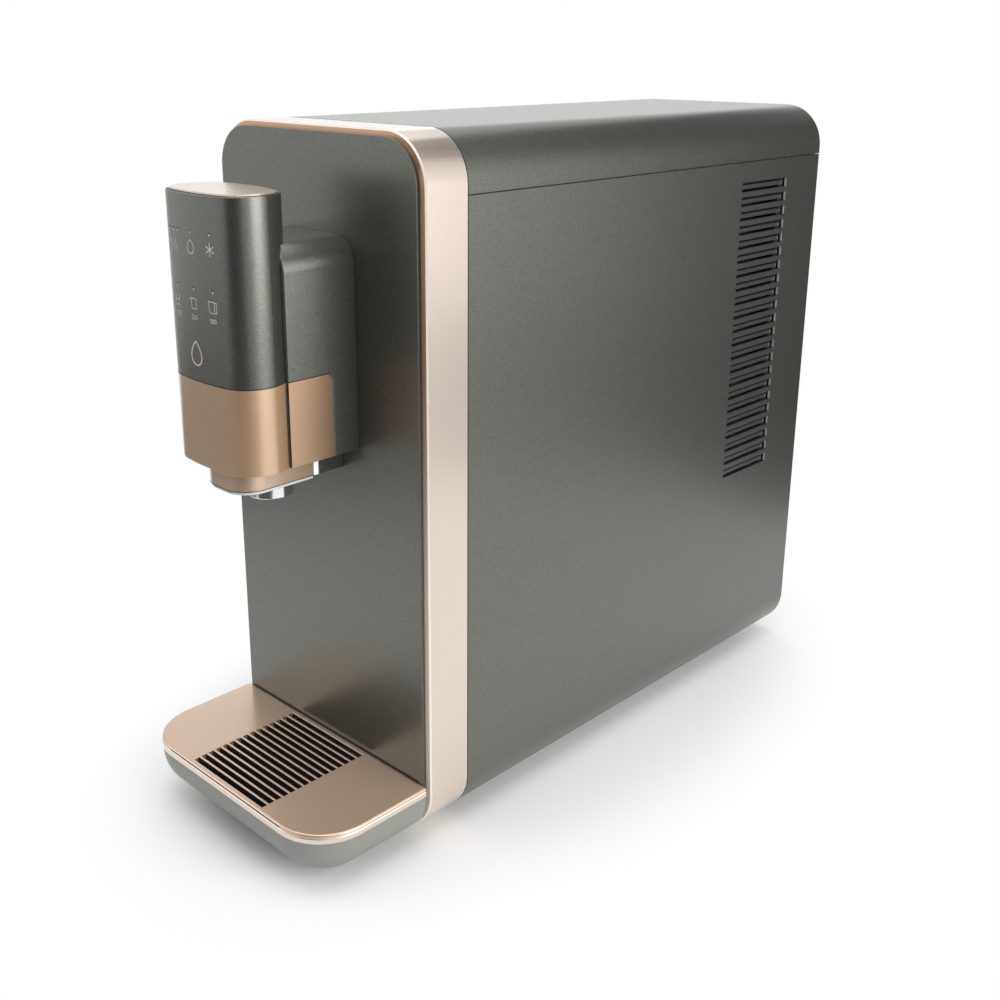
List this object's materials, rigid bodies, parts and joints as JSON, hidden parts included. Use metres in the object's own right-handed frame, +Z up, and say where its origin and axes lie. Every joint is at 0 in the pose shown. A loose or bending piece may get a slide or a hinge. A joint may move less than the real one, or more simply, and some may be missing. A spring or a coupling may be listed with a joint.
{
  "type": "countertop water purifier",
  "caption": "Slim countertop water purifier with a dispensing head on a neck, a pull-out drip tray, a lift-off top cover, twist-in filters, a chilled tank and a rear air vent.",
  "frame": {"origin": "on the worktop, under the middle of the outline of the whole purifier", "axes": "+X to the right seen from the dispensing side, +Y towards the rear connections, +Z up"},
  "size_m": [0.167, 0.46, 0.394],
  "materials": {
    "grey_coat": "satin warm grey with a fine metallic flake",
    "rose_gold": "brushed and anodised, rose gold",
    "tray_grey": "satin grey",
    "black_plastic": "matte black",
    "fan_plastic": "matte black",
    "rubber": "matte",
    "clear_plastic": "clear, polished",
    "chrome_trim": "polished",
    "zinc_sheet": "zinc-plated sheet",
    "white_plastic": "satin white",
    "filter_shell": "smooth white",
    "steel": "stainless",
    "foam": "expanded foam",
    "copper": "drawn copper",
    "alu_fins": "bare fins",
    "black_enamel": "semi-gloss black",
    "board_green": "solder mask",
    "tube_blue": "satin tube",
    "tube_dark": "satin",
    "collar_blue": "satin",
    "rocker_red": "gloss",
    "rocker_blue": "gloss"
  },
  "bodies": {
    "case": {"base_pan": "grey_coat", "feet": "rubber", "side_panel_right": "grey_coat", "side_panel_left": "grey_coat", "vent_louvre_right": "grey_coat", "vent_louvre_left": "grey_coat", "rear_panel": "grey_coat", "front_bezel": "rose_gold", "front_panel": "grey_coat", "front_frame": "black_plastic", "neck_housing": "grey_coat", "neck_plate_right": "rose_gold", "neck_plate_left": "rose_gold", "head_front_cover": "grey_coat", "head_rear_cover": "grey_coat", "head_sleeve": "rose_gold", "head_cap": "rose_gold", "head_floor": "black_plastic", "display_board": "board_green", "nozzle_step": "rose_gold", "nozzle_strip": "clear_plastic", "nozzle_block": "grey_coat", "nozzle_ring": "clear_plastic", "filter_bracket": "zinc_sheet", "filter_manifold": "white_plastic", "heater": "steel", "valve_block": "white_plastic", "partition": "zinc_sheet", "power_supply": "zinc_sheet", "tank_foam_front": "foam", "tank_foam_rear": "foam", "drain_pipe": "tube_dark", "cold_tank": "steel", "evaporator": "copper", "machine_shelf": "zinc_sheet", "compressor": "black_enamel", "compressor_mounts": "rubber", "condenser": "alu_fins", "fan_shroud": "black_plastic", "main_board": "white_plastic", "inlet_valve": "white_plastic", "feed_pipe": "tube_blue", "outlet_pipe": "tube_blue", "copper_pipes": "copper", "inlet_fitting": "white_plastic", "drain_fitting": "white_plastic", "switch_housing": "black_plastic"},
    "top_cover": {"top_cover": "grey_coat"},
    "drip_tray": {"drip_tray": "tray_grey", "tray_rim": "rose_gold"},
    "tray_cover": {"tray_cover": "rose_gold"},
    "nozzle_tip": {"nozzle_tip": "chrome_trim"},
    "sediment_filter": {"sediment_filter": "filter_shell"},
    "membrane_filter": {"membrane_filter": "filter_shell"},
    "carbon_filter": {"carbon_filter": "filter_shell"},
    "fan_rotor": {"fan_rotor": "fan_plastic"},
    "hot_rocker": {"hot_rocker": "rocker_red"},
    "cold_rocker": {"cold_rocker": "rocker_blue"},
    "inlet_collar": {"inlet_collar": "collar_blue"},
    "drain_collar": {"drain_collar": "tube_dark"}
  },
  "joints": [
    {"name": "top_cover_lift", "type": "slide", "parent": "case", "child": "top_cover", "axis": [0, 0, 1], "range_m": [0, 0.06]},
    {"name": "drip_tray_pull", "type": "slide", "parent": "case", "child": "drip_tray", "axis": [0, -1, 0], "range_m": [0, 0.05]},
    {"name": "tray_cover_lift", "type": "slide", "parent": "drip_tray", "child": "tray_cover", "axis": [0, 0, 1], "range_m": [0, 0.03]},
    {"name": "nozzle_tip_pull", "type": "slide", "parent": "case", "child": "nozzle_tip", "axis": [0, 0, -1], "range_m": [0, 0.02]},
    {"name": "sediment_filter_twist", "type": "hinge", "parent": "case", "child": "sediment_filter", "pos_m": [-0.034, -0.1037, 0.088], "axis": [0, 0, 1], "range_deg": [0, 90]},
    {"name": "membrane_filter_twist", "type": "hinge", "parent": "case", "child": "membrane_filter", "pos_m": [0.034, -0.1037, 0.088], "axis": [0, 0, 1], "range_deg": [0, 90]},
    {"name": "carbon_filter_twist", "type": "hinge", "parent": "case", "child": "carbon_filter", "pos_m": [-0.034, -0.0417, 0.088], "axis": [0, 0, 1], "range_deg": [0, 90]},
    {"name": "fan_spin", "type": "hinge", "parent": "case", "child": "fan_rotor", "pos_m": [0, 0.1542, 0.2408], "axis": [1, 0, 0], "continuous": true},
    {"name": "hot_rocker_tip", "type": "hinge", "parent": "case", "child": "hot_rocker", "pos_m": [-0.0535, 0.2198, 0.256], "axis": [1, 0, 0], "range_deg": [0, 24]},
    {"name": "cold_rocker_tip", "type": "hinge", "parent": "case", "child": "cold_rocker", "pos_m": [-0.0535, 0.2198, 0.226], "axis": [1, 0, 0], "range_deg": [0, 24]},
    {"name": "inlet_collar_press", "type": "slide", "parent": "case", "child": "inlet_collar", "axis": [0, -1, 0], "range_m": [0, 0.0012], "stiffness_N_per_m": 300},
    {"name": "drain_collar_press", "type": "slide", "parent": "case", "child": "drain_collar", "axis": [0, -1, 0], "range_m": [0, 0.0012], "stiffness_N_per_m": 300}
  ]
}
